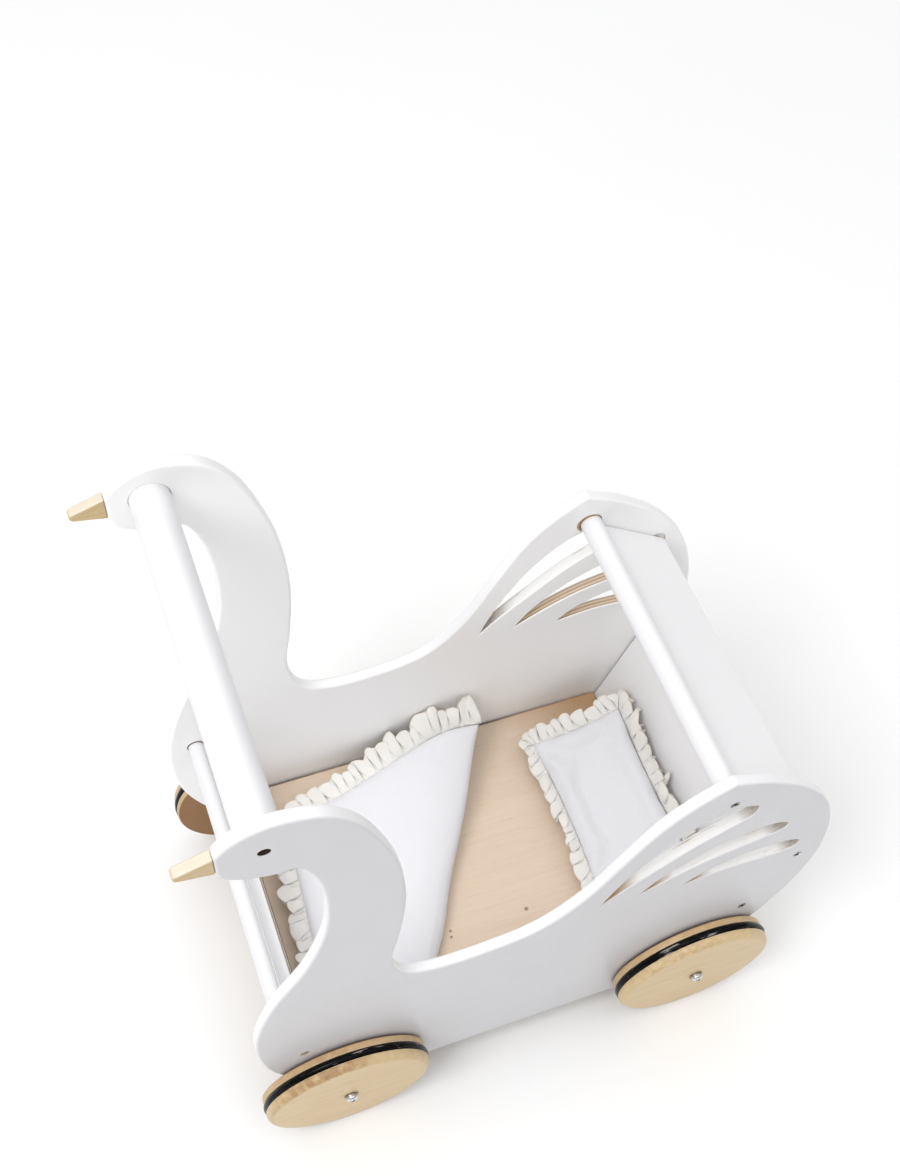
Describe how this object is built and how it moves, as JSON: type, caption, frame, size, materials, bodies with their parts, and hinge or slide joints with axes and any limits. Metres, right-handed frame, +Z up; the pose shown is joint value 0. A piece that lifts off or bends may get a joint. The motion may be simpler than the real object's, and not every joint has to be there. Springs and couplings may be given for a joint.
{
  "type": "doll stroller",
  "caption": "Wooden doll stroller with two swan-shaped side panels, a round handle bar, a plywood bed with duvet and pillow, and free-spinning wooden wheels with rubber tyres.",
  "frame": {"origin": "middle of the whole part seen from above, on the ground under the tyres", "axes": "+X towards the tails and away from the handle, +Y to the left seen from the handle, +Z up"},
  "size_m": [0.4557, 0.2978, 0.5214],
  "materials": {
    "white_paint": "smooth satin white paint on plywood and dowel",
    "birch": "clear-finished natural birch",
    "steel": "zinc-plated steel",
    "rubber": "smooth glossy black rubber",
    "cotton": "fine plain-woven off-white cotton over a soft filling"
  },
  "bodies": {
    "frame": {"side_panel_right": "white_paint", "side_panel_left": "white_paint", "beak_right": "birch", "beak_left": "birch", "handle_bar": "white_paint", "tail_rail": "white_paint", "breast_rail": "white_paint", "rail_screws": "steel", "floor_board": "birch", "breast_board": "white_paint", "breast_cleat": "birch", "back_board": "white_paint", "board_screws": "steel", "tail_board": "white_paint", "tail_board_pins": "birch", "axle_beam_head": "birch", "axle_beam_tail": "birch", "axle_screws": "steel", "axle_washers": "steel", "head_washers": "steel"},
    "wheel_hr": {"wheel_head_right": "birch", "tyre_head_right": "rubber"},
    "wheel_hl": {"wheel_head_left": "birch", "tyre_head_left": "rubber"},
    "wheel_tr": {"wheel_tail_right": "birch", "tyre_tail_right": "rubber"},
    "wheel_tl": {"wheel_tail_left": "birch", "tyre_tail_left": "rubber"},
    "duvet_body": {"duvet": "cotton"},
    "pillow_body": {"pillow": "cotton"}
  },
  "joints": [
    {"name": "spin_head_right", "type": "hinge", "parent": "frame", "child": "wheel_hr", "pos_m": [-0.1434, -0.134, 0.066], "axis": [0, 1, 0], "continuous": true},
    {"name": "spin_head_left", "type": "hinge", "parent": "frame", "child": "wheel_hl", "pos_m": [-0.1434, 0.134, 0.066], "axis": [0, 1, 0], "continuous": true},
    {"name": "spin_tail_right", "type": "hinge", "parent": "frame", "child": "wheel_tr", "pos_m": [0.1496, -0.134, 0.066], "axis": [0, 1, 0], "continuous": true},
    {"name": "spin_tail_left", "type": "hinge", "parent": "frame", "child": "wheel_tl", "pos_m": [0.1496, 0.134, 0.066], "axis": [0, 1, 0], "continuous": true},
    {"name": "duvet_lift", "type": "slide", "parent": "frame", "child": "duvet_body", "axis": [0, 0, 1], "range_m": [0, 0.55]},
    {"name": "pillow_lift", "type": "slide", "parent": "frame", "child": "pillow_body", "axis": [-0.45, 0, 0.893], "range_m": [0, 0.475]}
  ]
}
